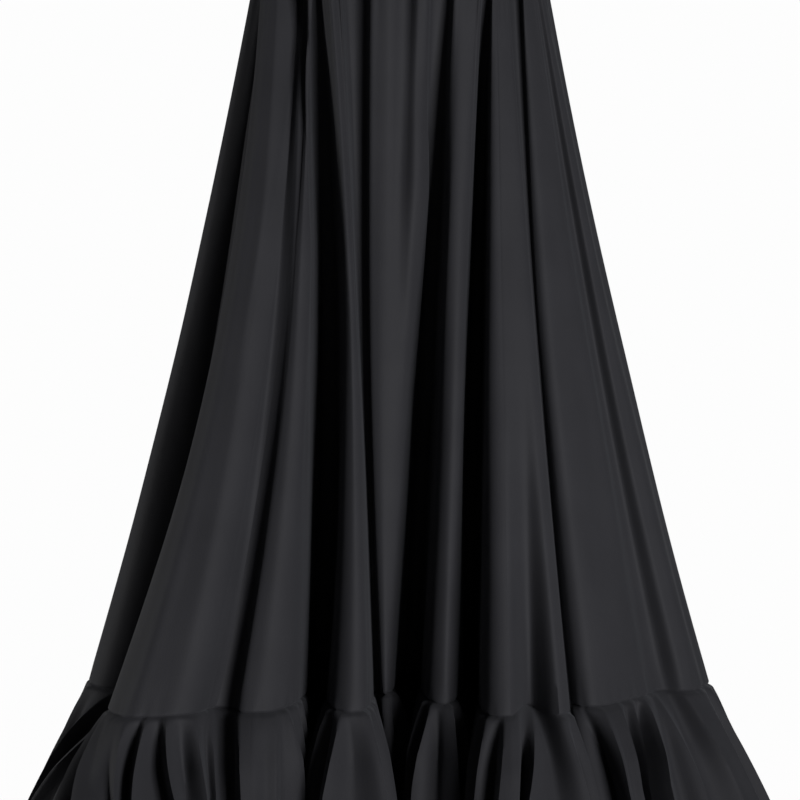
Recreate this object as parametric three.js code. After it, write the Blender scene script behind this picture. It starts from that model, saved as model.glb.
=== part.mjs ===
// A long flamenco skirt: an elastic waistband, four gathered gores that fall in large cone folds,
// and a gathered flounce in four strips. Millimetres, +Z up, the front faces -Y.
// The origin is the middle of the waist, level with the top of the waistband.
import * as THREE from "three";

// ---- Levels and walls, mm ----
const BAND_HEIGHT = 40;
const BAND_WALL = 3;
const CLOTH_WALL = 1.5;
const SEAM_GAP = 0.3;
const LEVEL = { waist: -BAND_HEIGHT, hip: -130, knee: -530, seam: -814, hem: -927 };
const WAIST = { halfWidth: 128, halfDepth: 98 };
const HIP = { halfWidth: 150, halfDepth: 115 };
const HIP_TUCK = 17; // how far a valley lies behind the hip ellipse
const VALLEY_FLOOR = [0.25, 0.75]; // a valley's two lines, as shares of the way to the next fold
const FLOUNCE_FLARE = 64; // how far the flounce's lower edge stands out past its seam
const FLARE_CURVE = 0.85; // under 1, the flounce bells out fastest just below its seam
const SPREAD_CURVE = 1.4; // over 1, the folds widen fastest just below the seam
const FLOUNCE_CLOSING = 0.16; // share of the gap to the next fold that each side of it takes up
const HOLLOW = 8; // how far the long generators curve in halfway between hip and seam
const SHOULDER = 0.6; // a fold's shoulder, as a share of the way from its crest to its edge
const ROUND_FLANK = 0.2; // the share of the edge's drop that the shoulder has on a rounded flank
const STRAIGHT_FLANK = 0.55; // the same on a flank that slopes evenly
const SQUARE_FLANK = 0.06; // the same on a flank that turns back at a square edge

// ---- The large folds, as seen from each side of the skirt, from its left to its right ----
// hip, knee, seam, hem: where the fold's two edges are along that side at each level. A level that a
// row leaves out is worked out from its neighbours.
// crest: the crest's place between the edges. reach: how far out it is at the seam.
// left, right: how far behind the crest the two edges are at the seam.
// valley: how far out the valley after the fold is at the seam. Without one it runs into the next fold.
// under: how far the valley lies back under its fold at the hem, where the flounce leans over it.
// slopes: whether the flank after the crest slopes evenly, where the others are rounded.
// square: whether the flank before the crest turns back at a square edge.
const SIDES = [
  {
    turn: 0, // front
    folds: [
      { name: "A", hip: [-135, -96], knee: [-184, -112], seam: [-261, -154], hem: [-316, -156],
        crest: 0.42, reach: 261, left: 89, right: 34, square: true },
      { name: "D", hip: [-96, -84], knee: [-112, -84], seam: [-154, -89], hem: [-156, -92],
        crest: 0.45, reach: 234, left: 7, right: 90, valley: 60 },
      { name: "E", hip: [-75, -58], knee: [-55, -37], seam: [-68, -26], hem: [-84, -6],
        crest: 0.6, reach: 223, left: 48, right: 36, valley: 88, under: 6 },
      { name: "F", hip: [-27, 26], knee: [-27, 13], seam: [-18, -2], hem: [-2, 5],
        crest: 0.3, reach: 112, left: 6, right: 60, valley: 25 },
      { name: "G", hip: [52, 78], knee: [35, 63], seam: [21, 58], hem: [11, 60],
        crest: 0.55, reach: 186, left: 58, right: 56, valley: 25 },
      { name: "H", hip: [89, 103], knee: [81, 131], seam: [76, 152], hem: [67, 174],
        crest: 0.3, reach: 252, left: 22, right: 24, valley: 160 },
      { name: "I", hip: [120, 134], knee: [138, 198], seam: [162, 250], hem: [188, 290],
        crest: 0.2, reach: 182, left: 16, right: 77, slopes: true },
    ],
  },
  {
    turn: 90, // right side
    folds: [
      { name: "R1", hip: [-51, 18], knee: [-83, 44], seam: [-105, 62], hem: [-132, 68],
        crest: 0.62, reach: 308, left: 58, right: 62, valley: 222 },
      { name: "R2", hip: [30, 72], seam: [84, 168],
        crest: 0.4, reach: 276, left: 40, right: 72, valley: 186 },
    ],
  },
  {
    turn: 180, // back
    folds: [
      { name: "B1", hip: [-106, -66], seam: [-204, -120],
        crest: 0.45, reach: 246, left: 50, right: 44, valley: 118 },
      { name: "B2", hip: [-54, -33], seam: [-98, -54],
        crest: 0.5, reach: 262, left: 52, right: 56, valley: 84 },
      { name: "B3", hip: [-22, 14], seam: [-34, 14],
        crest: 0.45, reach: 224, left: 42, right: 40, valley: 76 },
      { name: "B4", hip: [25, 52], seam: [32, 84],
        crest: 0.55, reach: 258, left: 58, right: 46, valley: 96 },
      { name: "B5", hip: [62, 84], seam: [102, 146],
        crest: 0.45, reach: 222, left: 42, right: 26 },
      { name: "B6", hip: [84, 104], seam: [146, 212],
        crest: 0.5, reach: 236, left: 40, right: 66, valley: 134 },
    ],
  },
  {
    turn: 270, // left side
    folds: [
      { name: "L1", hip: [-68, -34], seam: [-150, -86],
        crest: 0.55, reach: 276, left: 42, right: 44, valley: 212 },
      { name: "L2", hip: [-22, 34], knee: [-50, 78], seam: [-66, 110], hem: [-76, 134],
        crest: 0.37, reach: 308, left: 54, right: 43, valley: 230 },
    ],
  },
];

// ---- Small creases and the flounce's gathers, at shares of a fold's width ----
// at: the place across the fold at the top and at the foot of the crease. depth: how deep it is at its
// top and foot, negative for a ridge. wide: its half width as a share of the fold. Between the levels
// top and foot it changes evenly, and it dies away over CREASE_FADE past each.
const CREASE_FADE = 120;
const CREASES = [
  { fold: "A", at: [0.84, 0.46], depth: [6, 2], wide: 0.14, top: -120, foot: -440 },
  { fold: "A", at: [0.88, 0.88], depth: [5, 18], wide: 0.12, top: -240, foot: -814 },
  { fold: "F", at: [0.62, 0.6], depth: [9, 2], wide: 0.2, top: -60, foot: -400 },
  { fold: "H", at: [0.58, 0.6], depth: [0, 42], wide: 0.28, top: -460, foot: -814 },
  { fold: "B3", at: [0.6, 0.5], depth: [7, 1], wide: 0.2, top: -60, foot: -420 },
  { fold: "B1", at: [0.5, 0.55], depth: [1, 24], wide: 0.22, top: -500, foot: -814 },
  { fold: "R2", at: [0.6, 0.5], depth: [6, 2], wide: 0.16, top: -90, foot: -500 },
];

// ---- The cut: where each gore and each flounce strip starts, and the share of that fold ----
const GORES = [
  { name: "skirt_front_gore", fold: "A", at: 0.93, color: 0x333337 },
  { name: "skirt_right_gore", fold: "H", at: 0.3, color: 0x2e2e32 },
  { name: "skirt_back_gore", fold: "R2", at: 0.9, color: 0x333337 },
  { name: "skirt_left_gore", fold: "B6", at: 0.9, color: 0x2e2e32 },
];
const STRIPS = [
  { name: "flounce_front", fold: "D", at: 0.31, color: 0x2a2a2d },
  { name: "flounce_right", fold: "I", at: 0.46, color: 0x313135 },
  { name: "flounce_back", fold: "B2", at: 0.7, color: 0x2a2a2d },
  { name: "flounce_left", fold: "L1", at: 0.3, color: 0x313135 },
];

// ---- How finely the cloth is faceted ----
const SKIRT_LEVELS = [LEVEL.waist, LEVEL.hip, -370, -610, LEVEL.seam];
const FLOUNCE_LEVELS = [LEVEL.seam, -870, LEVEL.hem];
const FACET = 16; // widest facet on a fold, along the seam
const FACETS_AT_MOST = 3; // between two fold lines, however far apart
const BAND_STEPS = 64;
const BAND_COLOR = 0x26262a;

const mix = (a, b, t) => a + (b - a) * t;
const share = (z, from, to) => THREE.MathUtils.clamp((z - from) / (to - from), 0, 1);
const turned = ([x, y], degrees) => {
  const point = new THREE.Vector2(x, y).rotateAround(new THREE.Vector2(), THREE.MathUtils.degToRad(degrees));
  return [point.x, point.y];
};

// A curve's value at level z, from its values at the hip, knee and seam
function throughLevels(z, hip, knee, seam) {
  const { hip: a, knee: b, seam: c } = LEVEL;
  return (
    (hip * (z - b) * (z - c)) / ((a - b) * (a - c)) +
    (knee * (z - a) * (z - c)) / ((b - a) * (b - c)) +
    (seam * (z - a) * (z - b)) / ((c - a) * (c - b))
  );
}

const STRAIGHT_KNEE = share(LEVEL.knee, LEVEL.hip, LEVEL.seam);

// Fills in the levels that a row of the fold table leaves out
function completed(folds) {
  return folds.map((fold, i) => {
    const before = folds[i - 1];
    const after = folds[i + 1];
    const closing = (gap) => FLOUNCE_CLOSING * Math.max(gap, 0);
    const spreadLeft = before ? closing(fold.seam[0] - before.seam[1]) : 0;
    const spreadRight = after ? closing(after.seam[0] - fold.seam[1]) : 0;
    return {
      ...fold,
      knee: fold.knee ?? fold.hip.map((x, k) => mix(x, fold.seam[k], STRAIGHT_KNEE)),
      hem: fold.hem ?? [fold.seam[0] - spreadLeft, fold.seam[1] + spreadRight],
    };
  });
}

// How far out the hip ellipse is on a side, at a distance along it
function hipOut(along, turn) {
  const across = turn % 180 === 0;
  const half = across ? HIP.halfWidth : HIP.halfDepth;
  const out = across ? HIP.halfDepth : HIP.halfWidth;
  return out * Math.sqrt(Math.max(1 - (along / half) ** 2, 0));
}

// The lines that run down each fold: its edges, shoulders and crest, and the floor of the valley after
// it. part is the line's place across its fold, from 0 to 1, and from 1 to 2 in the valley.
function foldLines() {
  const lines = [];
  let runsOn = false;
  for (const { turn, folds } of SIDES) {
    const rows = completed(folds);
    rows.forEach((fold, i) => {
      const leftShoulder = fold.crest * (1 - SHOULDER);
      const rightShoulder = fold.crest + (1 - fold.crest) * SHOULDER;
      const across = [
        { part: 0, drop: fold.left },
        { part: leftShoulder, drop: fold.left * (fold.square ? SQUARE_FLANK : ROUND_FLANK) },
        { part: fold.crest, drop: 0 },
        { part: rightShoulder, drop: fold.right * (fold.slopes ? STRAIGHT_FLANK : ROUND_FLANK) },
        { part: 1, drop: fold.right },
      ];
      for (const { part, drop } of across) {
        if (part === 0 && runsOn) continue;
        const along = {};
        for (const level of ["hip", "knee", "seam", "hem"]) along[level] = mix(...fold[level], part);
        lines.push({ name: fold.name, part, turn, along, out: fold.reach - drop });
      }
      runsOn = fold.valley === undefined;
      if (runsOn) return;
      for (const way of VALLEY_FLOOR) {
        const edge = lines.findLastIndex((line) => line.part === 1);
        const floor = { part: 1 + way, way, edge, out: fold.valley, under: fold.under ?? 0 };
        lines.push({ name: fold.name, turn, ...floor });
      }
    });
  }
  return lines;
}

// How far out a line is at level z, from its reach at the hip and at the seam
function reachAt(z, hip, seam) {
  const t = share(z, LEVEL.hip, LEVEL.seam);
  return mix(hip, seam, t) - 4 * HOLLOW * t * (1 - t);
}

// How far out past its seam the flounce is at level z
function flareAt(z) {
  return FLOUNCE_FLARE * share(z, LEVEL.seam, LEVEL.hem) ** FLARE_CURVE;
}

// A fold line's place in plan at level z
function foldPlace({ along, out, turn }, z) {
  const level = Math.max(z, LEVEL.seam);
  let x = throughLevels(Math.min(level, LEVEL.hip), along.hip, along.knee, along.seam);
  let y = reachAt(level, hipOut(along.hip, turn), out);
  if (z < LEVEL.seam) {
    const t = share(z, LEVEL.seam, LEVEL.hem);
    x = mix(x, along.hem, 1 - (1 - t) ** SPREAD_CURVE);
    y += flareAt(z);
  }
  return turned([x, -y], turn);
}

const LINES = foldLines();

// A point on the way across a valley from one fold's edge to the next one's, seen from the valley's side
function acrossValley({ way, edge, turn }, z) {
  const before = foldPlace(LINES[edge], z);
  const after = foldPlace(LINES[(edge + VALLEY_FLOOR.length + 1) % LINES.length], z);
  const [along, back] = turned([mix(before[0], after[0], way), mix(before[1], after[1], way)], -turn);
  return [along, -back];
}

// The place of a line on a valley's floor in plan at level z
function valleyPlace(line, z) {
  const atHip = acrossValley(line, LEVEL.hip);
  const hipPlace = atHip[1] * (1 - HIP_TUCK / Math.hypot(...atHip));
  const below = share(z, LEVEL.seam, LEVEL.hem);
  const along = acrossValley(line, z)[0] - line.under * below;
  return turned([along, -reachAt(z, hipPlace, line.out) - flareAt(z)], line.turn);
}

// The skirt's plan at level z, from the hip down: a closed smooth curve through all of its lines
function planAt(z) {
  const points = LINES.map((line) => (line.along ? foldPlace(line, z) : valleyPlace(line, z)));
  return new THREE.CatmullRomCurve3(
    points.map(([x, y]) => new THREE.Vector3(x, y, 0)),
    true,
    "centripetal",
  );
}

// The point of the waist's ellipse that lies in the same direction as a place on the hip
function onWaist({ x, y }) {
  const angle = Math.atan2(y / HIP.halfDepth, x / HIP.halfWidth);
  return new THREE.Vector3(WAIST.halfWidth * Math.cos(angle), WAIST.halfDepth * Math.sin(angle), 0);
}

// Where a share of a fold's width lies on the plan curve, counted in lines
function linePlace(name, part) {
  const first = LINES.findIndex((line) => line.name === name);
  const numbered = LINES.map((line, i) => ({ i, ...line }));
  const marks = numbered.filter((line) => line.name === name && line.part <= 1);
  if (marks[0].part > 0) marks.unshift({ i: first - 1, part: 0 });
  const k = marks.findIndex((mark, j) => j > 0 && part <= mark.part);
  return mix(marks[k - 1].i, marks[k].i, share(part, marks[k - 1].part, marks[k].part));
}

// How deep the small creases are at a place on the plan curve, at level z
function creaseDepth(place, z) {
  let depth = 0;
  for (const crease of CREASES) {
    const t = share(z, crease.top, crease.foot);
    const middle = linePlace(crease.fold, mix(...crease.at, t));
    const half = linePlace(crease.fold, Math.min(mix(...crease.at, t) + crease.wide, 1)) - middle;
    const away = Math.abs(place - middle) / half;
    const past = Math.max(z - crease.top, crease.foot - z, 0);
    if (away >= 1 || past >= CREASE_FADE) continue;
    const bump = Math.cos((away * Math.PI) / 2) ** 2;
    depth += mix(...crease.depth, t) * bump * (1 - past / CREASE_FADE);
  }
  return depth;
}

// The direction of the waist's ellipse at one of its points, anticlockwise from above
function alongWaist({ x, y }) {
  const steep = WAIST.halfWidth / WAIST.halfDepth;
  return new THREE.Vector3(-y * steep, x / steep, 0).normalize();
}

// Points of the cloth's outer and inner face at level z, at each place of a list. The first and the
// last give up half of the gap at their seams.
function facesAt(z, places) {
  const curve = planAt(Math.min(z, LEVEL.hip));
  const gathered = share(z, LEVEL.hip, LEVEL.waist);
  const lastPlace = places.length - 1;
  return places.map((place, k) => {
    const t = THREE.MathUtils.euclideanModulo(place, LINES.length) / LINES.length;
    const point = curve.getPoint(t);
    const waist = onWaist(point);
    const tangent = curve.getTangent(t).lerp(alongWaist(waist), gathered).normalize();
    const normal = new THREE.Vector3(tangent.y, -tangent.x, 0);
    point.lerp(waist, gathered).addScaledVector(normal, -creaseDepth(place, z));
    const trim = ((k === 0) - (k === lastPlace)) * (SEAM_GAP / 2);
    point.addScaledVector(tangent, trim);
    const face = (side) => point.clone().addScaledVector(normal, side * (CLOTH_WALL / 2)).setZ(z);
    return { outer: face(1), inner: face(-1) };
  });
}

// A closed wall from rows of outer and inner points, top row first
function wall(rows, isRing) {
  const across = rows[0].length;
  const vertices = rows.flatMap((row) => row.flatMap(({ outer, inner }) => [...outer, ...inner]));
  const outer = (row, k) => 2 * (row * across + (k % across));
  const inner = (row, k) => outer(row, k) + 1;
  const index = [];
  const quad = (a, b, c, d) => index.push(a, b, c, a, c, d);
  const last = rows.length - 1;
  const spans = isRing ? across : across - 1;
  for (let k = 0; k < spans; k += 1) {
    for (let row = 0; row < last; row += 1) {
      quad(outer(row, k), outer(row + 1, k), outer(row + 1, k + 1), outer(row, k + 1));
      quad(inner(row, k), inner(row, k + 1), inner(row + 1, k + 1), inner(row + 1, k));
    }
    quad(outer(0, k), outer(0, k + 1), inner(0, k + 1), inner(0, k));
    quad(outer(last, k), inner(last, k), inner(last, k + 1), outer(last, k + 1));
  }
  for (let row = 0; row < last && !isRing; row += 1) {
    quad(outer(row, 0), inner(row, 0), inner(row + 1, 0), outer(row + 1, 0));
    quad(outer(row, spans), outer(row + 1, spans), inner(row + 1, spans), inner(row, spans));
  }
  const geometry = new THREE.BufferGeometry();
  geometry.setAttribute("position", new THREE.Float32BufferAttribute(vertices, 3));
  geometry.setIndex(index);
  geometry.computeVertexNormals();
  return geometry;
}

function cloth(color) {
  return new THREE.MeshStandardMaterial({ color, roughness: 0.8, metalness: 0 });
}

function piece(name, geometry, color) {
  const mesh = new THREE.Mesh(geometry, cloth(color));
  mesh.name = name;
  return mesh;
}

// Places from one cut to another: every fold line between them, and even steps from line to line
function columns(from, to) {
  const curve = planAt(LEVEL.seam);
  const wayRound = (place) => THREE.MathUtils.euclideanModulo(place, LINES.length) / LINES.length;
  const at = (place) => curve.getPoint(wayRound(place));
  const stops = [from];
  for (let line = Math.floor(from) + 1; line < to; line += 1) stops.push(line);
  stops.push(to);
  const places = [from];
  for (let k = 1; k < stops.length; k += 1) {
    const length = at(stops[k]).distanceTo(at(stops[k - 1]));
    const steps = Math.min(Math.ceil(length / FACET), FACETS_AT_MOST);
    for (let step = 1; step <= steps; step += 1) places.push(mix(stops[k - 1], stops[k], step / steps));
  }
  return places;
}

// Turns a list of cuts into panels that each run from one cut to the next
function panels(cuts, levels) {
  const starts = cuts.map((cut) => linePlace(cut.fold, cut.at));
  return cuts.map(({ name, color }, i) => {
    const next = starts[(i + 1) % cuts.length];
    const places = columns(starts[i], next > starts[i] ? next : next + LINES.length);
    return piece(name, wall(levels.map((z) => facesAt(z, places)), false), color);
  });
}

// The elastic band, an even ring on the waist's ellipse
function waistband() {
  const ring = (z) =>
    Array.from({ length: BAND_STEPS }, (_, k) => {
      const angle = (2 * Math.PI * k) / BAND_STEPS;
      const face = (extra) =>
        new THREE.Vector3(
          (WAIST.halfWidth + extra) * Math.cos(angle),
          (WAIST.halfDepth + extra) * Math.sin(angle),
          z,
        );
      return { outer: face(BAND_WALL / 2), inner: face(-BAND_WALL / 2) };
    });
  return piece("waistband", wall([ring(0), ring(LEVEL.waist)], true), BAND_COLOR);
}

// The levels with half the seam gap taken off at the ends that meet another piece
const gored = [...SKIRT_LEVELS];
gored[0] -= SEAM_GAP;
gored[gored.length - 1] += SEAM_GAP / 2;
const flounced = [...FLOUNCE_LEVELS];
flounced[0] -= SEAM_GAP / 2;

const skirt = new THREE.Group();
skirt.add(waistband());
skirt.add(...panels(GORES, gored));
skirt.add(...panels(STRIPS, flounced));

export default skirt;
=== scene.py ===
"""A long flamenco skirt in plain black crepe, hung from its waist, for Blender.

The tables of folds are in millimetres and the meshes in metres. +Z is up and the front faces -Y.
The origin is the middle of the waist, level with the top of the waistband.
"""
import math

import bpy
import numpy as np
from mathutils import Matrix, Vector


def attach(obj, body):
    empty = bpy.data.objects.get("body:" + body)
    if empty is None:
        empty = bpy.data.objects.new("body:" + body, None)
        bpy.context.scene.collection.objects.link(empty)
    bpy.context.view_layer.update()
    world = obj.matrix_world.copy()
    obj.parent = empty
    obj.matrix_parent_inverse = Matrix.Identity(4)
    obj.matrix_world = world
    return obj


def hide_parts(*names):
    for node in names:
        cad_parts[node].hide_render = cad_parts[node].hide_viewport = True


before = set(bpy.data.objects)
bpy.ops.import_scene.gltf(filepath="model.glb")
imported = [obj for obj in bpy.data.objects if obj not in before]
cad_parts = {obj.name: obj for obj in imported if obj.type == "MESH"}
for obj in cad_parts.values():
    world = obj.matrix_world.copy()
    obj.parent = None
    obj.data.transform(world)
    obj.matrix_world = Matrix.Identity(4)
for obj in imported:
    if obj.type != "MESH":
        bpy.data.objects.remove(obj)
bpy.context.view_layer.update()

MM = 0.001
RNG = np.random.default_rng(1847)

# ---------------------------------------------------------------- levels and walls, mm

BAND_HEIGHT = 40.0
CLOTH_WALL = 0.7
WAIST_Z, HIP_Z, KNEE_Z, SEAM_Z, HEM_Z = -BAND_HEIGHT, -130.0, -530.0, -814.0, -927.0
WAIST = (128.0, 98.0)            # half width, half depth
HIP = (150.0, 115.0)
HIP_TUCK = 17.0                  # how far a valley lies behind the hip ellipse
FLARE = 64.0                     # how far the flounce's lower edge stands out past its seam
FLARE_CURVE = 0.85               # under 1, the flounce bells out fastest just below its seam
SPREAD_CURVE = 1.4               # over 1, the folds widen fastest just below the seam
CLOSING = 0.16                   # share of the gap to the next fold that the flounce takes up
HOLLOW = 8.0                     # how far the long generators curve in halfway down
SHOULDER = 0.6                   # a shoulder's place from the crest to the edge
# how far a shoulder has dropped, as a share of its edge's drop
ROUND_FLANK, STRAIGHT_FLANK, SQUARE_FLANK = 0.2, 0.55, 0.06
VALLEY_FLOOR = (0.25, 0.75)      # the floor's two lines, as shares of the valley's width

# ---------------------------------------------------------------- the large folds, mm
# hip, knee, seam, hem: where the fold's two edges are along its side of the skirt at each level.
# crest: the crest's place between the edges. reach: how far out it is at the seam.
# left, right: how far behind the crest the edges are there. valley: how far out the floor of the
# valley after it is; without one the fold runs into the next. under: how far that valley's floor
# slips back along the side at the hem. square: its left shoulder is near the crest's level.
# slopes: its right side falls evenly.

SIDES = [
    (0, [  # front
        dict(name="A", hip=(-135, -96), knee=(-184, -112), seam=(-261, -154), hem=(-316, -156),
             crest=0.42, reach=261, left=89, right=34, square=True),
        dict(name="D", hip=(-96, -84), knee=(-112, -84), seam=(-154, -89), hem=(-156, -92),
             crest=0.45, reach=234, left=7, right=90, valley=60),
        dict(name="E", hip=(-75, -58), knee=(-55, -37), seam=(-68, -26), hem=(-84, -6),
             crest=0.6, reach=223, left=48, right=36, valley=88, under=6),
        dict(name="F", hip=(-27, 26), knee=(-27, 13), seam=(-18, -2), hem=(-2, 5),
             crest=0.3, reach=112, left=6, right=60, valley=25),
        dict(name="G", hip=(52, 78), knee=(35, 63), seam=(21, 58), hem=(11, 60),
             crest=0.55, reach=186, left=58, right=56, valley=25),
        dict(name="H", hip=(89, 103), knee=(81, 131), seam=(76, 152), hem=(67, 174),
             crest=0.3, reach=252, left=22, right=24, valley=160),
        dict(name="I", hip=(120, 134), knee=(138, 198), seam=(162, 250), hem=(188, 290),
             crest=0.2, reach=182, left=16, right=77, slopes=True),
    ]),
    (90, [  # right
        dict(name="R1", hip=(-51, 18), knee=(-83, 44), seam=(-105, 62), hem=(-132, 68),
             crest=0.62, reach=308, left=58, right=62, valley=222),
        dict(name="R2", hip=(30, 72), seam=(84, 168), crest=0.4, reach=276, left=40, right=72,
             valley=186),
    ]),
    (180, [  # back
        dict(name="B1", hip=(-106, -66), seam=(-204, -120), crest=0.45, reach=246, left=50,
             right=44, valley=118),
        dict(name="B2", hip=(-54, -33), seam=(-98, -54), crest=0.5, reach=262, left=52,
             right=56, valley=84),
        dict(name="B3", hip=(-22, 14), seam=(-34, 14), crest=0.45, reach=224, left=42,
             right=40, valley=76),
        dict(name="B4", hip=(25, 52), seam=(32, 84), crest=0.55, reach=258, left=58, right=46,
             valley=96),
        dict(name="B5", hip=(62, 84), seam=(102, 146), crest=0.45, reach=222, left=42, right=26),
        dict(name="B6", hip=(84, 104), seam=(146, 212), crest=0.5, reach=236, left=40, right=66,
             valley=134),
    ]),
    (270, [  # left
        dict(name="L1", hip=(-68, -34), seam=(-150, -86), crest=0.55, reach=276, left=42,
             right=44, valley=212),
        dict(name="L2", hip=(-22, 34), knee=(-50, 78), seam=(-66, 110), hem=(-76, 134),
             crest=0.37, reach=308, left=54, right=43, valley=230),
    ]),
]

# ---------------------------------------------------------------- creases, mm
# Soft troughs, or ridges where depth is negative, that run down a fold at a share of its width.
# at, depth and wide (half width, as a share of a fold) are given at the top and at the foot.
# sharp: 0 for a rounded trough to 1 for a pressed one. grow: over 1, it deepens late.
# right: how wide its right side is beside its left. inward: it lies straight in from the cloth, where
# the others lie back from the front or the back.

CREASES = [
    dict(fold="A", at=(0.84, 0.46), depth=(3, 0.7), wide=(0.06, 0.05), top=-120, foot=-430, sharp=0.9),
    dict(fold="A", at=(0.90, 0.56), depth=(3, 1), wide=(0.20, 0.16), top=-120, foot=-440),
    dict(fold="A", at=(0.12, 0.10), depth=(-4, -6), wide=(0.26, 0.26), top=-120, foot=-814),
    dict(fold="A", at=(0.76, 0.94), depth=(11, 30), wide=(0.30, 0.36), top=-240, foot=-814, right=0.7),
    dict(fold="A", at=(0.80, 0.95), depth=(30, 0), wide=(0.45, 0.50), top=-60, foot=-380, right=4.0),
    dict(fold="D", at=(1.50, 1.50), depth=(-3, -3), wide=(0.45, 0.40), top=-200, foot=-480),
    dict(fold="E", at=(0.50, 0.50), depth=(-12, 0), wide=(0.40, 0.30), top=-60, foot=-440),
    dict(fold="E", at=(0.93, 0.97), depth=(1.5, 0.3), wide=(0.06, 0.05), top=-60, foot=-520, sharp=1),
    dict(fold="F", at=(0.62, 0.60), depth=(14, 3), wide=(0.18, 0.15), top=-60, foot=-400),
    dict(fold="F", at=(0.90, 0.90), depth=(-11, 0), wide=(0.30, 0.30), top=-330, foot=-520),
    dict(fold="G", at=(0.88, 0.94), depth=(1.5, 0.3), wide=(0.06, 0.05), top=-60, foot=-560, sharp=1),
    dict(fold="H", at=(0.62, 0.62), depth=(0, 50), wide=(0.20, 0.20), top=-400, foot=-814, grow=2.2),
    dict(fold="H", at=(1.50, 1.60), depth=(9, 0), wide=(0.36, 0.30), top=-60, foot=-500, right=0.8),
    dict(fold="R1", at=(0.04, 0.045), depth=(6, 22), wide=(0.20, 0.20), top=-150, foot=-780, right=0.4),
    dict(fold="B3", at=(0.60, 0.50), depth=(6, 1), wide=(0.15, 0.15), top=-60, foot=-420),
    dict(fold="B1", at=(0.50, 0.55), depth=(0, 26), wide=(0.20, 0.20), top=-460, foot=-814, grow=1.8),
    dict(fold="B4", at=(0.30, 0.36), depth=(5, 1), wide=(0.16, 0.12), top=-100, foot=-520),
    dict(fold="B6", at=(0.46, 0.50), depth=(1, 12), wide=(0.18, 0.16), top=-420, foot=-814),
    dict(fold="R1", at=(0.40, 0.34), depth=(3, 5), wide=(0.16, 0.14), top=-200, foot=-814),
    dict(fold="R2", at=(0.60, 0.50), depth=(6, 2), wide=(0.16, 0.16), top=-90, foot=-500),
    dict(fold="L1", at=(0.40, 0.46), depth=(4, 9), wide=(0.18, 0.16), top=-160, foot=-814),
    dict(fold="L2", at=(0.30, 0.24), depth=(4, 3), wide=(0.14, 0.12), top=-100, foot=-640),
    dict(fold="L2", at=(1.00, 1.00), depth=(16, 46), wide=(0.36, 0.36), top=-130, foot=-814,
         inward=True),
]
CREASE_FADE = 120.0

# ---------------------------------------------------------------- the flounce's pleats, mm
# Ridges and valleys in turn across a fold. seam, low: each one's share of the fold's width at the
# seam and at 0.6 of the way down, where shares from 1 to 2 lie in the valley after the fold.
# high: how far the cloth stands out there, before PLEAT_FULLNESS. Less than 0 is farther in.

PLEATS = [
    dict(fold="L2", seam=(0.10, 0.17, 0.24, 0.30, 0.37, 0.46, 0.54, 0.63, 0.72, 0.81, 0.90, 1.02, 1.40),
         low=(0.10, 0.17, 0.24, 0.30, 0.37, 0.43, 0.49, 0.545, 0.60, 0.68, 0.76, 1.0, 1.5),
         high=(-2, -9, -4, -10, -3, -8, -11, -3, -9, -2, -15, -1, -9)),
    dict(fold="A", seam=(0.00, 0.10, 0.19, 0.29, 0.34, 0.43, 0.50, 0.60, 0.73, 0.83, 0.88),
         low=(0.02, 0.27, 0.36, 0.42, 0.47, 0.65, 0.71, 0.78, 0.87, 0.905, 0.93),
         high=(5, 0, 6, -9, 8, -10, 8, -10, 8, -6, 2)),
    dict(fold="D", seam=(0.01, 0.16, 0.32, 0.50, 0.62, 0.70, 0.76, 0.80, 0.85),
         low=(0.04, 0.27, 0.385, 0.54, 0.66, 0.77, 0.88, 0.93, 0.98),
         high=(-11, 7, 5, 1, 3, -2, 6, 0, 4)),
    dict(fold="E", seam=(0.10, 0.18, 0.38, 0.55, 0.85, 0.93, 0.98),
         low=(0.02, 0.08, 0.24, 0.55, 0.88, 0.95, 1.0), high=(5, -10, 8, -7, 6, -3, 4)),
    dict(fold="F", seam=(0.10, 0.60, 0.95), low=(0.10, 0.60, 0.95), high=(3, -4, 2)),
    dict(fold="G", seam=(0.27, 0.42, 0.68, 0.82, 0.93), low=(0.18, 0.40, 0.74, 0.84, 0.93),
         high=(6, -8, 7, -9, 6)),
    dict(fold="H", seam=(0.06, 0.18, 0.25, 0.41, 0.47, 0.62, 0.76, 0.89, 1.3, 1.8),
         low=(0.02, 0.11, 0.19, 0.36, 0.39, 0.44, 0.72, 0.94, 1.2, 1.95),
         high=(5, -10, 7, 7, -11, 9, -6, 8, -8, 6)),
    dict(fold="I", seam=(0.10, 0.29, 0.36, 0.47, 0.70, 0.78, 0.90, 0.97),
         low=(0.13, 0.23, 0.28, 0.36, 0.47, 0.60, 0.80, 0.97), high=(-12, 10, 6, 8, -17, 11, -9, 10)),
    dict(fold="R1", seam=(0.045, 0.11, 0.20, 0.30, 0.42, 0.52, 0.58, 0.64, 0.72, 0.80),
         low=(0.035, 0.125, 0.20, 0.28, 0.40, 0.50, 0.57, 0.64, 0.72, 0.80),
         high=(-16, 4, -2, -17, -3, -9, -4, -8, -4, -9)),
]
PLEAT_LOW = 0.6           # how far down the flounce low is
PLEAT_SPREAD = 0.35       # how much of their slant the pleats keep below that
PLEAT_APART = 3.0         # the least length along the seam from a ridge to the next valley

# ---------------------------------------------------------------- the cut

# each piece, and the fold and share of its width where it starts

GORES = [("skirt_front_gore", "A", 0.93), ("skirt_right_gore", "H", 0.30),
         ("skirt_back_gore", "R2", 0.90), ("skirt_left_gore", "B6", 0.90)]
STRIPS = [("flounce_front", "D", 0.31), ("flounce_right", "I", 0.46),
          ("flounce_back", "B2", 0.70), ("flounce_left", "L1", 0.30)]


# ================================================================ the skirt's plan curve

def mix(a, b, t):
    return a + (b - a) * t


def share(value, start, end):
    return np.clip((value - start) / (end - start), 0.0, 1.0)


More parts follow.
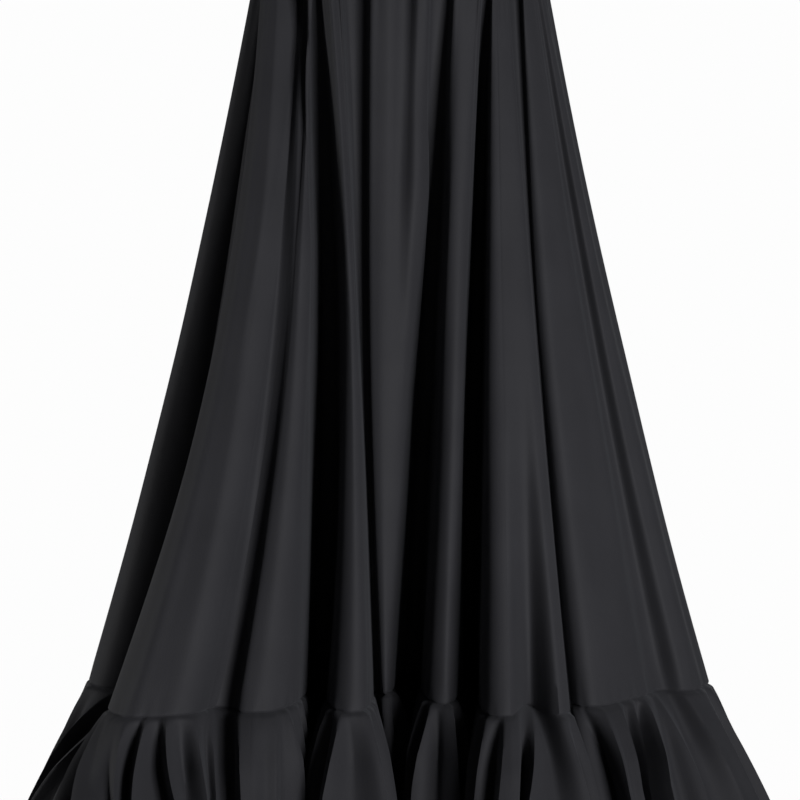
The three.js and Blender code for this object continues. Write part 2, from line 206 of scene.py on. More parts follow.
def turned(points, degrees):
    """Points in plan, turned anticlockwise about the origin."""
    c, s = math.cos(math.radians(degrees)), math.sin(math.radians(degrees))
    x, y = points[..., 0], points[..., 1]
    return np.stack([x * c - y * s, x * s + y * c], axis=-1)


def through_levels(z, hip, knee, seam):
    """The value at level z of a curve that has given values at the hip, knee and seam."""
    a, b, c = HIP_Z, KNEE_Z, SEAM_Z
    return (hip * (z - b) * (z - c) / ((a - b) * (a - c))
            + knee * (z - a) * (z - c) / ((b - a) * (b - c))
            + seam * (z - a) * (z - b) / ((c - a) * (c - b)))


def completed(folds):
    """The fold rows with the levels filled in that they leave out."""
    full = []
    straight = share(KNEE_Z, HIP_Z, SEAM_Z)
    for i, row in enumerate(folds):
        fold = dict(row)
        left, right = row["seam"]
        before = left - folds[i - 1]["seam"][1] if i else 0.0
        after = folds[i + 1]["seam"][0] - right if i + 1 < len(folds) else 0.0
        fold.setdefault("knee", [mix(h, s, straight) for h, s in zip(row["hip"], row["seam"])])
        fold.setdefault("hem", (left - CLOSING * max(before, 0), right + CLOSING * max(after, 0)))
        full.append(fold)
    return full


def fold_lines():
    """The lines that run down the folds: edges, shoulders and crest, and each valley's floor."""
    lines = []
    runs_on = False
    for turn, folds in SIDES:
        for fold in completed(folds):
            crest = fold["crest"]
            right_flank = STRAIGHT_FLANK if fold.get("slopes") else ROUND_FLANK
            left_flank = SQUARE_FLANK if fold.get("square") else ROUND_FLANK
            across = [(0.0, fold["left"]), (crest * (1 - SHOULDER), fold["left"] * left_flank),
                      (crest, 0.0), (mix(crest, 1.0, SHOULDER), fold["right"] * right_flank),
                      (1.0, fold["right"])]
            for part, drop in across[1 if runs_on else 0:]:
                along = [mix(*fold[level], part) for level in ("hip", "knee", "seam", "hem")]
                lines.append(dict(name=fold["name"], part=part, turn=turn, along=along,
                                  out=fold["reach"] - drop))
            runs_on = "valley" not in fold
            edge = len(lines) - 1
            for way in () if runs_on else VALLEY_FLOOR:
                lines.append(dict(name=fold["name"], part=1 + way, turn=turn, way=way, edge=edge,
                                  out=fold["valley"], under=fold.get("under", 0.0)))
    return lines


LINES = fold_lines()
COUNT = len(LINES)


def hip_out(along, turn):
    half, out = HIP if turn % 180 == 0 else HIP[::-1]
    return out * math.sqrt(max(1 - (along / half) ** 2, 0.0))


def reach_at(z, hip, seam):
    t = share(z, HIP_Z, SEAM_Z)
    return mix(hip, seam, t) - 4 * HOLLOW * t * (1 - t)


def flare_at(z):
    return FLARE * share(z, SEAM_Z, HEM_Z) ** FLARE_CURVE


def fold_place(line, z):
    """The place in plan of an edge, shoulder or crest at level z."""
    hip, knee, seam, hem = line["along"]
    level = max(z, SEAM_Z)
    x = through_levels(min(level, HIP_Z), hip, knee, seam)
    x = mix(x, hem, 1 - (1 - share(z, SEAM_Z, HEM_Z)) ** SPREAD_CURVE)
    out = reach_at(level, hip_out(hip, line["turn"]), line["out"]) + flare_at(z)
    return turned(np.array([x, -out]), line["turn"])


def valley_place(line, z):
    """The place in plan of a line on a valley's floor at level z."""
    def across(level):
        before = fold_place(LINES[line["edge"]], level)
        after = fold_place(LINES[(line["edge"] + 1 + len(VALLEY_FLOOR)) % COUNT], level)
        return turned(mix(before, after, line["way"]), -line["turn"])
    at_hip = across(HIP_Z)
    hip_reach = -at_hip[1] * (1 - HIP_TUCK / np.hypot(*at_hip))
    along = across(z)[0] - line["under"] * share(z, SEAM_Z, HEM_Z)
    out = reach_at(max(z, SEAM_Z), hip_reach, line["out"]) + flare_at(z)
    return turned(np.array([along, -out]), line["turn"])


def plan_points(z):
    return np.array([fold_place(line, z) if "along" in line else valley_place(line, z)
                     for line in LINES])


def smooth_curve(points, places):
    """Points and directions on the closed centripetal Catmull-Rom curve through points."""
    base = np.floor(places).astype(int)
    f = (places - base)[:, None]
    p0, p1, p2, p3 = (points[(base + k) % COUNT] for k in (-1, 0, 1, 2))
    d0, d1, d2 = (np.maximum(np.linalg.norm(b - a, axis=1), 1e-4)[:, None] ** 0.5
                  for a, b in ((p0, p1), (p1, p2), (p2, p3)))
    t1 = ((p1 - p0) / d0 - (p2 - p0) / (d0 + d1) + (p2 - p1) / d1) * d1
    t2 = ((p2 - p1) / d1 - (p3 - p1) / (d1 + d2) + (p3 - p2) / d2) * d1
    c2, c3 = -3 * p1 + 3 * p2 - 2 * t1 - t2, 2 * p1 - 2 * p2 + t1 + t2
    place = p1 + t1 * f + c2 * f ** 2 + c3 * f ** 3
    direction = t1 + 2 * c2 * f + 3 * c3 * f ** 2
    return place, direction / np.maximum(np.linalg.norm(direction, axis=1), 1e-9)[:, None]


def line_place(name, part):
    """Where a share of a fold's width lies on the plan curve, counted in lines."""
    marks = [(line["part"], i) for i, line in enumerate(LINES) if line["name"] == name]
    if marks[0][0] > 0:
        marks.insert(0, (0.0, marks[0][1] - 1))
    if marks[-1][0] > 1:
        marks.append((2.0, marks[-1][1] + 1))
    return float(np.interp(part, *zip(*marks)))


def normalised(vectors):
    return vectors / np.maximum(np.linalg.norm(vectors, axis=-1, keepdims=True), 1e-9)


def plan_row(places, z):
    """Points, directions and outward normals of the cloth's middle at level z, before any relief."""
    point, along = smooth_curve(plan_points(min(z, HIP_Z)), places)
    gathered = share(z, HIP_Z, WAIST_Z)
    angle = np.arctan2(point[:, 1] / HIP[1], point[:, 0] / HIP[0])
    around = np.stack([WAIST[0] * np.cos(angle), WAIST[1] * np.sin(angle)], axis=1)
    along_waist = normalised(np.stack([-WAIST[0] * np.sin(angle), WAIST[1] * np.cos(angle)], axis=1))
    point = mix(point, around, gathered)
    along = normalised(mix(along, along_waist, gathered))
    return point, along, np.stack([along[:, 1], -along[:, 0]], axis=1)


TABLE_STEPS = 60          # steps of a length table from one fold line to the next


def length_table(z):
    """Arc length along the plan curve at level z, as places and lengths to interpolate."""
    places = np.linspace(0, COUNT, COUNT * TABLE_STEPS + 1)
    point = plan_row(places, z)[0]
    steps = np.linalg.norm(np.diff(point, axis=0), axis=1)
    return places, np.concatenate([[0], np.cumsum(steps)])


SEAM_TABLE = length_table(SEAM_Z)
HIP_TABLE = length_table(HIP_Z)


def length_at(places, table):
    """Arc length at each place, where a place past the last line goes round again."""
    rounds = np.floor(np.asarray(places) / COUNT)
    return np.interp(np.asarray(places) - rounds * COUNT, *table) + rounds * table[1][-1]


FEWEST_COLUMNS, MOST_COLUMNS = 4, 24    # from one fold line to the next


def columns(start, end, pitch):
    """Places from start to end, evenly spread between one fold line and the next."""
    marks = [start, *range(math.floor(start) + 1, math.ceil(end)), end]
    lengths = length_at(marks, SEAM_TABLE)
    spans = []
    for a, b, length in zip(marks, marks[1:], np.diff(lengths)):
        steps = int(np.clip(math.ceil(length / pitch), FEWEST_COLUMNS, MOST_COLUMNS))
        spans.append(np.linspace(a, b, steps, endpoint=False))
    return np.concatenate([*spans, [end]])


def pieces_between(cuts):
    """Each piece's name with the places of its first and last column."""
    starts = [line_place(fold, at) for _, fold, at in cuts]
    ends = starts[1:] + [starts[0] + COUNT]
    return [(name, start, end) for (name, _, _), start, end in zip(cuts, starts, ends)]


# ================================================================ relief of the skirt

CUSP_POWER = 1.3          # over 1, the sides of a pressed crease curve in


def bump(away, sharp=0.0):
    """1 in the middle and 0 from a distance of 1: a soft swell, or a cusp where sharp is 1."""
    away = np.clip(np.abs(away), 0, 1)
    return mix(np.cos(away * math.pi / 2) ** 2, (1 - away) ** CUSP_POWER, sharp)


def ring_distance(a, b, around):
    """From b to a the short way round."""
    return (a - b + around / 2) % around - around / 2


FACING = 0.3              # how far relief on slanting cloth leans sideways: 0 for straight ahead
FACING_ENDS = (50.0, 90.0)   # it turns to straight out from the cloth between these, degrees


def facing(normal):
    """Which way large relief stands out, from the cloth's outward normals."""
    angle = np.arctan2(normal[:, 0], np.abs(normal[:, 1]))
    sideways = share(np.degrees(np.abs(angle)), *FACING_ENDS)
    angle = angle * mix(FACING, 1.0, sideways ** 2 * (3 - 2 * sideways))
    return np.stack([np.sin(angle), np.sign(normal[:, 1]) * np.cos(angle)], axis=1)


LINES_A_FOLD = 4          # a crease's width counts a fold as this many lines


def crease_relief(places, z, inward=False):
    """How far out the creases put the cloth at level z."""
    height = np.zeros(len(places))
    for crease in [row for row in CREASES if row.get("inward", False) == inward]:
        t = share(z, crease["top"], crease["foot"])
        middle = line_place(crease["fold"], mix(*crease["at"], t))
        half = mix(*crease["wide"], t) * LINES_A_FOLD
        past = max(z - crease["top"], crease["foot"] - z, 0)
        deep = mix(*crease["depth"], t ** crease.get("grow", 1.0)) * bump(past / CREASE_FADE)
        away = ring_distance(places, middle, COUNT) / half
        away = np.where(away > 0, away / crease.get("right", 1.0), away)
        height -= deep * bump(away, crease.get("sharp", 0.0))
    return height


GATHER_PITCH = 9.5        # mm of hip
GATHER_TOP = WAIST_Z - 12    # the gathers are at their full depth above this
GATHER_POWER = 1.3        # over 1, they fade out sooner
GATHER_SHARP = 0.5
GATHER_COUNT = int(HIP_TABLE[1][-1] / GATHER_PITCH)
GATHERS = dict(
    middle=(np.arange(GATHER_COUNT) + RNG.uniform(-0.3, 0.3, GATHER_COUNT)) * GATHER_PITCH,
    half=RNG.uniform(3.0, 6.0, GATHER_COUNT),
    depth=RNG.uniform(0.8, 3.0, GATHER_COUNT),
    foot=RNG.uniform(-260, -120, GATHER_COUNT),
)


def gather_relief(places, z):
    """The small gathers under the waistband, which fade out at different heights."""
    at = length_at(places, HIP_TABLE)
    total = HIP_TABLE[1][-1]
    depth = np.zeros(len(places))
    for middle, half, deep, foot in zip(*GATHERS.values()):
        strength = share(z, foot, GATHER_TOP) ** GATHER_POWER
        if strength > 0:
            depth -= deep * strength * bump(ring_distance(at, middle, total) / half, GATHER_SHARP)
    return depth


WAVES = [  # how many go round the skirt, length of one down it in mm, height in mm
    (33, 610, 0.9), (53, 420, 0.6), (93, 350, 0.3)]
WAVE_STARTS = RNG.uniform(0, 2 * math.pi, (len(WAVES), 2))


def wave_relief(places, z):
    """Long shallow waves of the cloth, which meet all round."""
    around = length_at(places, SEAM_TABLE) / SEAM_TABLE[1][-1] * 2 * math.pi
    height = np.zeros(len(places))
    for (count, down, high), (a, b) in zip(WAVES, WAVE_STARTS):
        height += high * np.sin(around * count + a) * np.sin(2 * math.pi * z / down + b)
    return height * share(z, HIP_Z, KNEE_Z)


PUCKER_PITCH = 17.0       # mm of seam
PUCKER_POWER = 1.4        # over 1, they fade out sooner
PUCKER_SHARP = 0.3
PUCKER_COUNT = int(SEAM_TABLE[1][-1] / PUCKER_PITCH)
PUCKERS = dict(
    middle=(np.arange(PUCKER_COUNT) + RNG.uniform(-0.35, 0.35, PUCKER_COUNT)) * PUCKER_PITCH,
    half=RNG.uniform(4.5, 8.0, PUCKER_COUNT),
    depth=RNG.uniform(0.3, 1.9, PUCKER_COUNT),
    high=RNG.uniform(12, 46, PUCKER_COUNT),
)


def pucker_relief(places, z):
    """Short puckers that rise from the flounce's seam."""
    at = length_at(places, SEAM_TABLE)
    total = SEAM_TABLE[1][-1]
    depth = np.zeros(len(places))
    for middle, half, deep, high in zip(*PUCKERS.values()):
        strength = share(z, SEAM_Z + high, SEAM_Z) ** PUCKER_POWER
        if strength > 0:
            depth -= deep * strength * bump(ring_distance(at, middle, total) / half, PUCKER_SHARP)
    return depth


SEAM_ROLL = 2.4           # how far the cloth turns in at the flounce's seam
SEAM_ROLL_REACH = 3.0     # over this height
JOIN_ROLL = 0.3           # the same at a seam that runs down
JOIN_REACH = 2.2


def join_relief(places):
    """The cloth turns in beside the seams at a piece's first and last column."""
    at = length_at(places, SEAM_TABLE)
    nearest = np.minimum(at - at[0], at[-1] - at)
    return -JOIN_ROLL * np.clip(1 - nearest / JOIN_REACH, 0, 1) ** 2


SEAM_LIFTS = [  # where round the seam: how far it lies above its level, mm
    ("L1", 1.5, 0.0), ("L2", 0.37, 6.0), ("L2", 1.0, 0.0), ("A", 0.05, 0.0), ("A", 0.3, 0.5),
    ("A", 0.7, 2.0), ("D", 0.5, 1.0), ("D", 1.0, 6.0), ("E", 0.0, 3.0), ("E", 0.5, 0.0),
    ("E", 1.0, 1.5), ("G", 0.0, 6.0), ("G", 0.5, 2.0), ("G", 1.0, 6.0), ("H", 0.0, 0.0),
    ("H", 0.3, 0.0), ("H", 0.5, 5.0), ("H", 0.8, 0.0), ("I", 0.3, 0.0), ("I", 0.7, 2.5),
    ("R1", 0.3, 3.0), ("R1", 0.62, 2.0), ("R2", 0.5, 0.0), ("B2", 0.5, 3.0), ("B4", 0.5, -2.0),
]


def seam_lift(places):
    """How far above its level the flounce's seam lies, in soft steps from one mark to the next."""
    marks = [line_place(fold, at) for fold, at, _ in SEAM_LIFTS]
    lifts = [lift for _, _, lift in SEAM_LIFTS]
    order = np.argsort(marks)
    marks, lifts = np.array(marks)[order], np.array(lifts)[order]
    marks = np.concatenate([marks[-1:] - COUNT, marks, marks[:1] + COUNT])
    lifts = np.concatenate([lifts[-1:], lifts, lifts[:1]])
    where = places % COUNT
    k = np.clip(np.searchsorted(marks, where, side="right") - 1, 0, len(marks) - 2)
    way = (where - marks[k]) / (marks[k + 1] - marks[k])
    return mix(lifts[k], lifts[k + 1], (1 - np.cos(math.pi * way)) / 2)


SEAM_GAP = 0.2            # from the seam's level to the gores' edge, and to the flounce's second row
UNDER_BAND = 4.0          # how far up behind the waistband the gores reach
ROW_STRETCHES = [  # a stretch of rows down a gore: from level, to level, how many
    (WAIST_Z + UNDER_BAND, HIP_Z, 14), (HIP_Z, SEAM_Z + 50, 62), (SEAM_Z + 50, SEAM_Z + 5, 10)]
LAST_ROWS = (SEAM_Z + 5, SEAM_Z + SEAM_GAP, 5)


def skirt_rows(places):
    """Rows of points down a gore, with all its relief."""
    stretches = [np.linspace(*stretch, endpoint=False) for stretch in ROW_STRETCHES]
    rows = []
    for z in np.concatenate([*stretches, np.linspace(*LAST_ROWS)]):
        point, _, normal = plan_row(places, z)
        relief = crease_relief(places, z, inward=True) + gather_relief(places, z)
        relief += wave_relief(places, z) + pucker_relief(places, z) + join_relief(places)
        relief -= SEAM_ROLL * share(z, SEAM_Z + SEAM_ROLL_REACH, SEAM_Z) ** 2
        point = point + normal * relief[:, None] + facing(normal) * crease_relief(places, z)[:, None]
        level = z + seam_lift(places) * share(z, KNEE_Z, SEAM_Z) ** 2
        rows.append(np.column_stack([point, level]))
    return np.array(rows)


# ================================================================ relief of the flounce

PLAIN_PITCH = 11.0        # from a ridge to the next valley where no pleats are listed
PLAIN_GAP = 2.2           # listed pleats farther apart than this many pitches get plain ones between
PLAIN_HEIGHT = (5.0, 9.0)
PLAIN_SHIFT = 0.25        # how far a plain one may stray, as a share of the step to the next


def seam_length(fold, part):
    return float(length_at(line_place(fold, part), SEAM_TABLE))


def spread_apart(lengths, total):
    """Three rounds of rising lengths, moved so that none is too near the next."""
    rounds = np.concatenate([lengths - total, lengths, lengths + total])
    steps = np.arange(len(rounds)) * PLEAT_APART
    rising = np.maximum.accumulate(rounds - steps) + steps
    falling = np.minimum.accumulate((rounds - steps)[::-1])[::-1] + steps
    return (rising + falling) / 2


def pleat_knots():
    """Ridges and valleys round the flounce: length along the seam, the same lower down, height."""
    total = SEAM_TABLE[1][-1]
    knots = []
    for row in PLEATS:
        for seam, low, high in zip(row["seam"], row["low"], row["high"]):
            knots.append((seam_length(row["fold"], seam), seam_length(row["fold"], low), high))
    knots.sort()
    ahead = knots[1:] + [(knots[0][0] + total, knots[0][1] + total, knots[0][2])]
    for before, after in zip(list(knots), ahead):
        gap = after[0] - before[0]
        turns = 1 if before[2] * after[2] > 0 else 2
        more = 2 * int(max(gap / PLAIN_PITCH - turns, 0) / 2)
        count = turns + more if gap > PLAIN_GAP * PLAIN_PITCH else 0
        way = -np.sign(before[2])
        for k in range(count):
            part = (k + 1 + RNG.uniform(-PLAIN_SHIFT, PLAIN_SHIFT)) / (count + 1)
            high = RNG.uniform(*PLAIN_HEIGHT) * way * (-1) ** k
            knots.append((mix(before[0], after[0], part), mix(before[1], after[1], part), high))
    seam, low, high = np.array(sorted(knots)).T
    return spread_apart(seam, total), spread_apart(low, total), np.tile(high, 3)


PLEAT_KNOTS = pleat_knots()
PLEAT_FULLNESS = 1.9
PLEAT_GROWTH = 0.38       # the pleats come to their full over this share of the flounce's height
GROWTH_POWER = 0.7        # under 1, they grow fastest just below the seam
FLARING = 0.2             # how much deeper they are at the hem
RIDGE_POWER = 1.6         # over 1, a crisp ridge is narrower than its valley
CRISPNESS = 0.5           # from a soft wave at 0 to a crisp ridge at 1
EDGE_STRENGTH = 0.45      # how full a pleat is on a fold's edge
FLOOR_STRENGTH = 0.12     # and on the floor of a valley between folds


def place_at(lengths):
    """The places on the plan curve at arc lengths along the seam."""
    rounds = np.floor(lengths / SEAM_TABLE[1][-1])
    return np.interp(lengths - rounds * SEAM_TABLE[1][-1], *SEAM_TABLE[::-1]) + rounds * COUNT


def pleat_columns(start, end, pitch):
    """Arc lengths of a flounce piece's columns, one of them on each ridge and valley."""
    first, last = length_at(start, SEAM_TABLE), length_at(end, SEAM_TABLE)
    knots = PLEAT_KNOTS[0]
    marks = [first, *knots[(knots > first + 1) & (knots < last - 1)], last]
    spans = [np.linspace(a, b, max(math.ceil((b - a) / pitch), 2), endpoint=False)
             for a, b in zip(marks, marks[1:])]
    return np.concatenate([*spans, [last]])


def slanted(lengths, t):
    """Where columns of the flounce that start at given lengths are at a share t of the way down."""
    seam, low, _ = PLEAT_KNOTS
    slant = np.clip(t / PLEAT_LOW, 0, 1) + PLEAT_SPREAD * max(t / PLEAT_LOW - 1, 0)
    return np.interp(lengths, seam, mix(seam, low, slant))


def pleat_relief(lengths, t):
    """Height of the pleats at a share t of the way down the flounce."""
    knots, _, high = PLEAT_KNOTS
    k = np.clip(np.searchsorted(knots, lengths, side="right") - 1, 0, len(knots) - 2)
    way = (lengths - knots[k]) / (knots[k + 1] - knots[k])
    from_ridge = np.where(high[k] > high[k + 1], way, 1 - way)
    upper, lower = np.maximum(high[k], high[k + 1]), np.minimum(high[k], high[k + 1])
    soft, crisp = (1 + np.cos(math.pi * from_ridge)) / 2, (1 - from_ridge) ** RIDGE_POWER
    full = np.clip(t / PLEAT_GROWTH, 0, 1) ** GROWTH_POWER * (1 + FLARING * t)
    return PLEAT_FULLNESS * full * mix(lower, upper, mix(soft, crisp, CRISPNESS))


def pleat_strength(places):
    """How full the pleats are: less so at a fold's edges and on a valley's narrow floor."""
    at_line = []
    for line in LINES:
        on_edge = EDGE_STRENGTH if line["part"] in (0.0, 1.0) else 1.0
        at_line.append(FLOOR_STRENGTH if "way" in line else on_edge)
    return np.interp(places % COUNT, np.arange(COUNT + 1), at_line + at_line[:1])


FLOUNCE_LIP = 2.0         # how far the flounce stands proud just below its seam
LIP_REACH = 3.0           # and how far below it that is reached
FLOUNCE_TUCK = 2.5        # how far its upper edge reaches up behind the gores
TUCK_INWARD = 2.0         # and in from them
SEAM_FADE = 12.0          # how far below the seam the flounce takes on the gores' waves and puckers
CREASE_POWER = 2.2        # how soon the gores' creases die out down the flounce
UPPER_DROPS = (-FLOUNCE_TUCK, SEAM_GAP, 1.0, 2.2, 3.6, 5.5)   # the first rows, below the seam
BODY_START, BODY_END, BODY_ROWS = 0.07, 8.0, 24   # share down, height above the lower edge, count
HEM_ROLL = [  # from where the hem turns up: height above its lower edge, distance outward
    (6.0, 0.0), (4.4, 0.1), (3.2, 0.5), (2.2, 1.1), (1.2, 1.5), (0.4, 1.2), (0.0, 0.3),
    (0.4, -0.6), (1.3, -0.9), (2.3, -0.6)]


def flounce_rows(lengths):
    """Rows of points down a flounce strip, from its tucked edge to its turned hem."""
    tall = SEAM_Z - HEM_Z
    upper = [(drop / tall, 0.0) for drop in UPPER_DROPS]
    body = [(t, 0.0) for t in np.linspace(BODY_START, 1 - BODY_END / tall, BODY_ROWS)]
    roll = [(1 - high / tall, out) for high, out in HEM_ROLL]
    rows = []
    for t, out in upper + body + roll:
        z = mix(SEAM_Z, HEM_Z, t)
        places = place_at(slanted(lengths, t))
        point, _, normal = plan_row(places, z)
        drop = SEAM_Z - z
        running_on = (1 - t) ** CREASE_POWER
        ahead = pleat_relief(lengths, t) * pleat_strength(places)
        ahead += crease_relief(places, SEAM_Z) * running_on
        relief = join_relief(places) + out
        relief += crease_relief(places, SEAM_Z, inward=True) * running_on
        relief += FLOUNCE_LIP * min(drop / LIP_REACH, 1) - TUCK_INWARD * (drop < 0)
        relief -= SEAM_ROLL * max(1 - abs(drop) / SEAM_ROLL_REACH, 0) ** 2
        at_seam = wave_relief(places, SEAM_Z) + pucker_relief(places, SEAM_Z)
        relief += at_seam * np.clip(1 - drop / SEAM_FADE, 0, 1)
        point = point + normal * relief[:, None] + facing(normal) * ahead[:, None]
        level = z + seam_lift(places) * (1 - t)
        rows.append(np.column_stack([point, level]))
    return np.array(rows)


# ================================================================ meshes

CUT_EDGE = math.radians(60)   # the cloth's cut edges are sharper than this and its folds are softer


def cloth_mesh(name, rows, material, ring=False):
    """A sheet of cloth through rows of points, given its wall by a Solidify modifier."""
    count, across = rows.shape[:2]
    index = np.arange(count * across).reshape(count, across)
    nxt = np.roll(index, -1, axis=1) if ring else index[:, 1:]
    this = index if ring else index[:, :-1]
    faces = np.stack([this[:-1], this[1:], nxt[1:], nxt[:-1]], axis=-1).reshape(-1, 4)
    mesh = bpy.data.meshes.new(name)
    mesh.from_pydata((rows.reshape(-1, 3) * MM).tolist(), [], faces.tolist())
    steps = np.linalg.norm(np.diff(rows, axis=1), axis=2).max(axis=0)
    u = np.concatenate([[0], np.cumsum(steps)])
    v = np.concatenate([[0], np.cumsum(np.linalg.norm(np.diff(rows, axis=0), axis=2).mean(axis=1))])
    flat = np.stack(np.broadcast_arrays(u[None, :], v[:, None]), axis=-1).reshape(-1, 2) * MM
    layer = mesh.uv_layers.new(name="cut")
    corners = np.empty(len(mesh.loops), dtype=np.int32)
    mesh.loops.foreach_get("vertex_index", corners)
    layer.data.foreach_set("uv", flat[corners].ravel())
    mesh.shade_smooth()
    mesh.materials.append(material)
    cloth = bpy.data.objects.new(name, mesh)
    bpy.context.collection.objects.link(cloth)
    wall = cloth.modifiers.new("wall", "SOLIDIFY")
    wall.thickness = CLOTH_WALL * MM
    wall.offset = -1
    bpy.ops.object.select_all(action="DESELECT")
    bpy.context.view_layer.objects.active = cloth
    cloth.select_set(True)
    bpy.ops.object.modifier_apply(modifier=wall.name)
    cloth.data.set_sharp_from_angle(angle=CUT_EDGE)
    return cloth


# ================================================================ materials

def linear(code):
    """An sRGB hex colour as the linear colour that shaders use."""
    parts = [int(code[i:i + 2], 16) / 255 for i in (1, 3, 5)]
    return [c / 12.92 if c <= 0.04045 else ((c + 0.055) / 1.055) ** 2.4 for c in parts] + [1.0]


def node(tree, kind, inputs=(), **settings):
    """Adds a node with its settings. Inputs give each socket a value or another node's output."""
    made = tree.nodes.new(kind)
    for key, value in settings.items():
        setattr(made, key, value)
    for socket, value in dict(inputs).items():
        if isinstance(value, bpy.types.NodeSocket):
            tree.links.new(value, made.inputs[socket])
        else:
            made.inputs[socket].default_value = value
    return made


THREAD_PITCH = 0.6        # mm between threads of the weave
WAVE_MM = 0.314           # a wave texture's scale for bands 1 mm apart
PEBBLE_MM = 1.1
CLOUD_MM = 60.0


def black_crepe():
    """Black crepe: satin-matte, faintly pebbled, with a soft cool sheen where it turns away."""
    material = bpy.data.materials.new("black crepe")
    material.use_nodes = True
    tree = material.node_tree
    tree.nodes.clear()
    place = node(tree, "ShaderNodeTexCoord").outputs["Object"]
    millimetres = node(tree, "ShaderNodeMapping", {"Vector": place, "Scale": (1000, 1000, 1000)})
    where = millimetres.outputs["Vector"]
    cut = node(tree, "ShaderNodeUVMap", uv_map="cut").outputs["UV"]
    threads = node(tree, "ShaderNodeMapping", {"Vector": cut, "Scale": (1000, 1000, 1000)})
    along = threads.outputs["Vector"]
    warp = node(tree, "ShaderNodeTexWave", {"Vector": along, "Scale": WAVE_MM / THREAD_PITCH,
                                            "Distortion": 1.5, "Detail": 1.0}, bands_direction="X")
    weft = node(tree, "ShaderNodeTexWave", {"Vector": along, "Scale": WAVE_MM / THREAD_PITCH,
                                            "Distortion": 1.5, "Detail": 1.0}, bands_direction="Y")
    crossed = node(tree, "ShaderNodeMath", {0: warp.outputs["Fac"], 1: weft.outputs["Fac"]},
                   operation="MULTIPLY")
    pebble = node(tree, "ShaderNodeTexNoise", {"Vector": where, "Scale": 1 / PEBBLE_MM, "Detail": 3.0})
    cloud = node(tree, "ShaderNodeTexNoise", {"Vector": where, "Scale": 1 / CLOUD_MM, "Detail": 2.0})
    colour = node(tree, "ShaderNodeMix", {"Factor": cloud.outputs["Fac"], "A": linear("#1d1d20"),
                                          "B": linear("#242427")}, data_type="RGBA")
    weave = node(tree, "ShaderNodeBump", {"Height": crossed.outputs["Value"], "Strength": 0.3,
                                          "Distance": 0.0001})
    relief = node(tree, "ShaderNodeBump", {"Height": pebble.outputs["Fac"], "Strength": 0.55,
                                           "Distance": 0.0004, "Normal": weave.outputs["Normal"]})
    surface = node(tree, "ShaderNodeBsdfPrincipled", {
        "Base Color": colour.outputs["Result"], "Roughness": 0.75, "Specular IOR Level": 0.15,
        "Sheen Weight": 0.05, "Sheen Roughness": 0.5, "Sheen Tint": linear("#c9ccd6"),
        "Normal": relief.outputs["Normal"]})
    node(tree, "ShaderNodeOutputMaterial", {"Surface": surface.outputs["BSDF"]})
    return material


def pale_floor():
    """Plain matt pale floor."""
    material = bpy.data.materials.new("pale studio floor")
    material.use_nodes = True
    surface = material.node_tree.nodes["Principled BSDF"]
    surface.inputs["Base Color"].default_value = linear("#e9e9ea")
    surface.inputs["Roughness"].default_value = 0.9
    return material


# ================================================================ the skirt

BAND_COLUMNS = 720
BAND_WAVES = (61, 74, 89, 97)      # gathers of the band's cloth: how many go round in each set
BAND_WAVE_HEIGHT = (0.2, 0.5)
BAND_WAVE_START = 6.3              # the most that a set is turned by, in radians
GORE_PITCH = 3.2                   # mm along the seam from one column of points to the next
FLOUNCE_PITCH = 1.7


def finish_sheet(cloth, node_name):
    """Hangs a sheet on the skirt's one body in place of its solid."""
    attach(cloth, "root")
    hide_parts(node_name)


def make_waistband(crepe):
    """The elastic band: an even tube of cloth with fine upright gathers."""
    angle = np.linspace(0, 2 * math.pi, BAND_COLUMNS, endpoint=False)
    gather = sum(RNG.uniform(*BAND_WAVE_HEIGHT) * np.sin(k * angle + RNG.uniform(0, BAND_WAVE_START))
                 for k in BAND_WAVES)
    x, y = (WAIST[0] + gather) * np.cos(angle), (WAIST[1] + gather) * np.sin(angle)
    levels = (0.0, -BAND_HEIGHT / 2, -BAND_HEIGHT)
    rows = np.array([np.column_stack([x, y, np.full(BAND_COLUMNS, z)]) for z in levels])
    band = cloth_mesh("waistband_cloth", rows, crepe, ring=True)
    finish_sheet(band, "waistband")
    return band


def make_gores(crepe):
    """The four flared gores, from behind the waistband to the flounce's seam."""
    gores = []
    for name, start, end in pieces_between(GORES):
        gore = cloth_mesh(name + "_cloth", skirt_rows(columns(start, end, GORE_PITCH)), crepe)
        finish_sheet(gore, name)
        gores.append(gore)
    return gores


def make_flounce(crepe, gores):
    """The flounce's four strips, gathered onto the gores."""
    for name, start, end in pieces_between(STRIPS):
        rows = flounce_rows(pleat_columns(start, end, FLOUNCE_PITCH))
        strip = cloth_mesh(name + "_cloth", rows, crepe)
        finish_sheet(strip, name)


# ================================================================ studio, metres

FLOOR_Z = -1.050
FLOOR_CORNERS = [(-1.4, -1.7), (1.4, -1.7), (1.4, 0.64), (-1.4, 0.64)]
LIT_WALL = (0.86, 0.94)    # cosines of the angle off straight back where the wall starts and is full
DARK_ROOM, BRIGHT_WALL = "#242426", "#fdfdfd"
MIDDLE_OF_SKIRT = (0, 0, -0.5)
SOFTBOXES = [
    dict(name="key softbox", place=(1.50, -2.94, -0.75), size=(1.0, 1.2), power=158),
    dict(name="fill softbox", place=(-2.95, 0.5, -0.4), size=(0.7, 1.4), power=42),
]


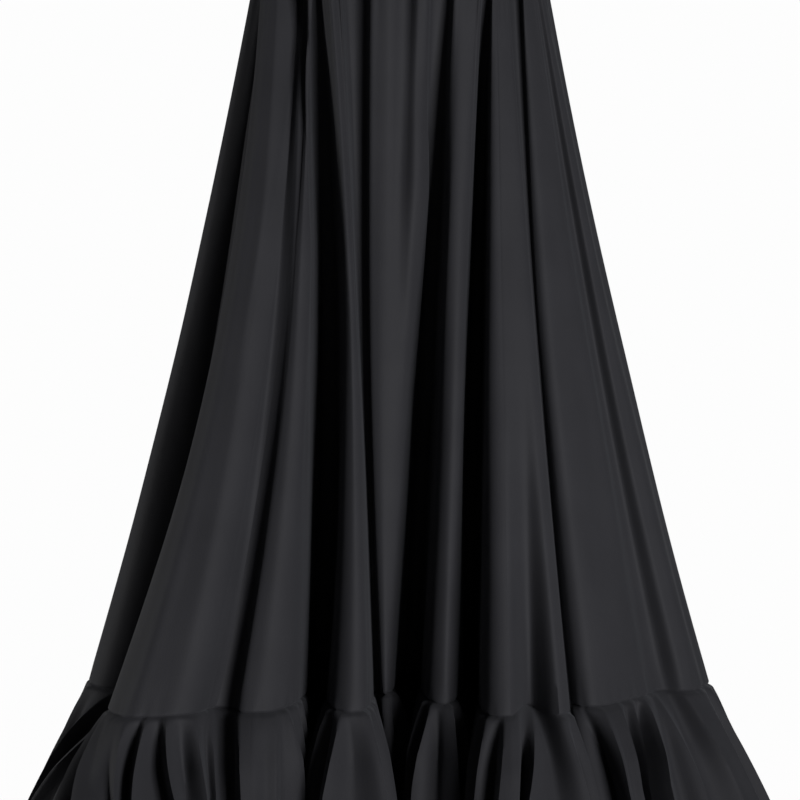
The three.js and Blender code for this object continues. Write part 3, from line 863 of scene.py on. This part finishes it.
def lay_floor():
    mesh = bpy.data.meshes.new("floor")
    mesh.from_pydata([(x, y, FLOOR_Z) for x, y in FLOOR_CORNERS], [], [(0, 1, 2, 3)])
    mesh.materials.append(pale_floor())
    floor = bpy.data.objects.new("floor", mesh)
    bpy.context.collection.objects.link(floor)


def light_room():
    """A dim room with a bright wall behind the skirt."""
    world = bpy.data.worlds.new("studio")
    bpy.context.scene.world = world
    world.use_nodes = True
    sky = world.node_tree
    sky.nodes.clear()
    toward = node(sky, "ShaderNodeTexCoord").outputs["Generated"]
    behind = node(sky, "ShaderNodeVectorMath", {0: toward, 1: (0, 1, 0)}, operation="DOT_PRODUCT")
    wall_edge = node(sky, "ShaderNodeMapRange",
                     {"Value": behind.outputs["Value"], "From Min": LIT_WALL[0], "From Max": LIT_WALL[1]},
                     interpolation_type="SMOOTHSTEP")
    shade = node(sky, "ShaderNodeMix",
                 {"Factor": wall_edge.outputs["Result"], "A": linear(DARK_ROOM),
                  "B": linear(BRIGHT_WALL)}, data_type="RGBA")
    glow = node(sky, "ShaderNodeBackground", {"Color": shade.outputs["Result"], "Strength": 1.0})
    node(sky, "ShaderNodeOutputWorld", {"Surface": glow.outputs["Background"]})


def softbox(name, place, size, power):
    light = bpy.data.lights.new(name, "AREA")
    light.shape = "RECTANGLE"
    light.size, light.size_y = size
    light.energy = power
    lamp = bpy.data.objects.new(name, light)
    bpy.context.collection.objects.link(lamp)
    lamp.location = place
    aim = Vector(MIDDLE_OF_SKIRT) - Vector(place)
    lamp.rotation_euler = aim.to_track_quat("-Z", "Y").to_euler()


CREPE = black_crepe()
BAND = make_waistband(CREPE)
make_flounce(CREPE, make_gores(CREPE))
lay_floor()
light_room()
for row in SOFTBOXES:
    softbox(**row)

lens = bpy.data.cameras.new("camera")
lens.lens = 108.0
lens.sensor_width = 36.0
camera = bpy.data.objects.new("camera", lens)
bpy.context.collection.objects.link(camera)
camera.location = (0.0, -2.4, -0.53)
camera.rotation_euler = (math.radians(90), 0, 0)
bpy.context.scene.camera = camera
bpy.context.scene.view_settings.view_transform = "Standard"
